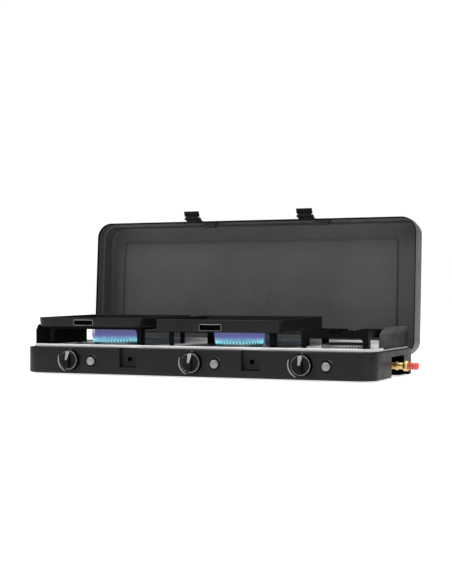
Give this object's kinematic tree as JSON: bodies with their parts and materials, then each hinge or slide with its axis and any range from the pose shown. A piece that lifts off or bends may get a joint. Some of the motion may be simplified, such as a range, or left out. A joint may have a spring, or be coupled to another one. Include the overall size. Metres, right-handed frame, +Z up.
{
  "type": "camping stove",
  "caption": "Low three-burner camping gas stove with a tilting lid, two griddle plates, pot stand, wind shields, knobs, igniter buttons, front latches and a side gas inlet.",
  "frame": {"origin": "centre of the base pan's flat underside", "axes": "+X to the user's right along the long side, +Y to the back where the lid is hinged, +Z up"},
  "size_m": [0.793, 0.3939, 0.3459],
  "materials": {
    "base_paint": "matt powder coat",
    "deck_steel": "satin stainless steel",
    "foot_rubber": "matt",
    "burner_alloy": "cast",
    "cast_iron": "matt enamelled",
    "brass": "machined",
    "zinc_steel": "zinc plated",
    "black_plastic": "moulded, satin",
    "button_grey": "satin grey",
    "ceramic": "glazed",
    "wire_insulation": "silicone sleeve",
    "copper": "drawn copper tube",
    "red_plastic": "soft translucent",
    "plate_coating": "non-stick coated cast aluminium",
    "shield_paint": "matt powder coat",
    "lid_paint": "matt powder coat"
  },
  "bodies": {
    "base": {"base_pan": "base_paint", "burner_body_center": "burner_alloy", "burner_body_left": "burner_alloy", "burner_body_right": "burner_alloy", "burner_cap_center": "cast_iron", "burner_cap_left": "cast_iron", "burner_cap_right": "cast_iron", "burner_feed_pipe_center": "zinc_steel", "burner_feed_pipe_left": "zinc_steel", "burner_feed_pipe_right": "zinc_steel", "deck_tray": "deck_steel", "electrode_center": "ceramic", "electrode_left": "ceramic", "electrode_right": "ceramic", "foot_front_left": "foot_rubber", "foot_front_right": "foot_rubber", "foot_rear_left": "foot_rubber", "foot_rear_right": "foot_rubber", "gas_rail": "zinc_steel", "hinge_pin_left": "zinc_steel", "hinge_pin_right": "zinc_steel", "hinge_post_left": "zinc_steel", "hinge_post_right": "zinc_steel", "igniter_body_center": "black_plastic", "igniter_body_left": "black_plastic", "igniter_body_right": "black_plastic", "igniter_lead_center": "wire_insulation", "igniter_lead_left": "wire_insulation", "igniter_lead_right": "wire_insulation", "inlet_fitting": "brass", "inlet_nut": "brass", "inlet_pipe": "copper", "tap_body_center": "brass", "tap_body_left": "brass", "tap_body_right": "brass"},
    "lid": {"lid_shell": "lid_paint", "hinge_leaf_left": "zinc_steel", "hinge_leaf_right": "zinc_steel", "latch_bracket_left": "black_plastic", "latch_bracket_right": "black_plastic"},
    "latch_left": {"latch_left": "black_plastic"},
    "latch_right": {"latch_right": "black_plastic"},
    "dust_cap": {"dust_cap": "red_plastic"},
    "wind_shield_left": {"wind_shield_left": "shield_paint"},
    "wind_shield_right": {"wind_shield_right": "shield_paint"},
    "griddle_plate_left": {"griddle_plate_left": "plate_coating"},
    "griddle_plate_center": {"griddle_plate_center": "plate_coating"},
    "spindle_left": {"tap_spindle_left": "zinc_steel"},
    "knob_left": {"knob_left": "black_plastic"},
    "igniter_button_left": {"igniter_button_left": "button_grey"},
    "pot_stand_left": {"pot_stand_left": "cast_iron"},
    "spindle_center": {"tap_spindle_center": "zinc_steel"},
    "knob_center": {"knob_center": "black_plastic"},
    "igniter_button_center": {"igniter_button_center": "button_grey"},
    "pot_stand_center": {"pot_stand_center": "cast_iron"},
    "spindle_right": {"tap_spindle_right": "zinc_steel"},
    "knob_right": {"knob_right": "black_plastic"},
    "igniter_button_right": {"igniter_button_right": "button_grey"},
    "pot_stand_right": {"pot_stand_right": "cast_iron"}
  },
  "joints": [
    {"name": "lid_hinge", "type": "hinge", "parent": "base", "child": "lid", "pos_m": [0, 0.1405, 0.0465], "axis": [1, 0, 0], "range_deg": [0, 93.7]},
    {"name": "latch_left_pivot", "type": "hinge", "parent": "lid", "child": "latch_left", "pos_m": [-0.1315, 0.1581, 0.32645], "axis": [1, 0, 0], "range_deg": [-59, 61]},
    {"name": "latch_right_pivot", "type": "hinge", "parent": "lid", "child": "latch_right", "pos_m": [0.1315, 0.1581, 0.32645], "axis": [1, 0, 0], "range_deg": [-59, 61]},
    {"name": "knob_left_turn", "type": "hinge", "parent": "base", "child": "spindle_left", "pos_m": [-0.263, -0.145, 0.0275], "axis": [0, -1, 0], "range_deg": [0, 180]},
    {"name": "knob_left_push", "type": "slide", "parent": "spindle_left", "child": "knob_left", "axis": [0, 1, 0], "range_m": [0, 0.003], "stiffness_N_per_m": 900},
    {"name": "igniter_left_push", "type": "slide", "parent": "base", "child": "igniter_button_left", "axis": [0, 1, 0], "range_m": [0, 0.003], "stiffness_N_per_m": 700},
    {"name": "knob_center_turn", "type": "hinge", "parent": "base", "child": "spindle_center", "pos_m": [0.009, -0.145, 0.0275], "axis": [0, -1, 0], "range_deg": [0, 180]},
    {"name": "knob_center_push", "type": "slide", "parent": "spindle_center", "child": "knob_center", "axis": [0, 1, 0], "range_m": [0, 0.003], "stiffness_N_per_m": 900},
    {"name": "igniter_center_push", "type": "slide", "parent": "base", "child": "igniter_button_center", "axis": [0, 1, 0], "range_m": [0, 0.003], "stiffness_N_per_m": 700},
    {"name": "knob_right_turn", "type": "hinge", "parent": "base", "child": "spindle_right", "pos_m": [0.236, -0.145, 0.0275], "axis": [0, -1, 0], "range_deg": [0, 180]},
    {"name": "knob_right_push", "type": "slide", "parent": "spindle_right", "child": "knob_right", "axis": [0, 1, 0], "range_m": [0, 0.003], "stiffness_N_per_m": 900},
    {"name": "igniter_right_push", "type": "slide", "parent": "base", "child": "igniter_button_right", "axis": [0, 1, 0], "range_m": [0, 0.003], "stiffness_N_per_m": 700},
    {"name": "pot_stand_left_seat", "type": "slide", "parent": "base", "child": "pot_stand_left", "axis": [0, 0, -1], "range_m": [-0.05, 0]},
    {"name": "pot_stand_center_seat", "type": "slide", "parent": "base", "child": "pot_stand_center", "axis": [0, 0, -1], "range_m": [-0.05, 0]},
    {"name": "pot_stand_right_seat", "type": "slide", "parent": "base", "child": "pot_stand_right", "axis": [0, 0, -1], "range_m": [-0.05, 0]},
    {"name": "griddle_plate_left_seat", "type": "slide", "parent": "pot_stand_left", "child": "griddle_plate_left", "axis": [0, 0, -1], "range_m": [-0.12, 0]},
    {"name": "griddle_plate_center_seat", "type": "slide", "parent": "pot_stand_center", "child": "griddle_plate_center", "axis": [0, 0, -1], "range_m": [-0.12, 0]},
    {"name": "wind_shield_left_seat", "type": "slide", "parent": "base", "child": "wind_shield_left", "axis": [0, 0, -1], "range_m": [-0.06, 0]},
    {"name": "wind_shield_right_seat", "type": "slide", "parent": "base", "child": "wind_shield_right", "axis": [0, 0, -1], "range_m": [-0.06, 0]},
    {"name": "dust_cap_pull", "type": "slide", "parent": "base", "child": "dust_cap", "axis": [1, 0, 0], "range_m": [0, 0.03]}
  ]
}
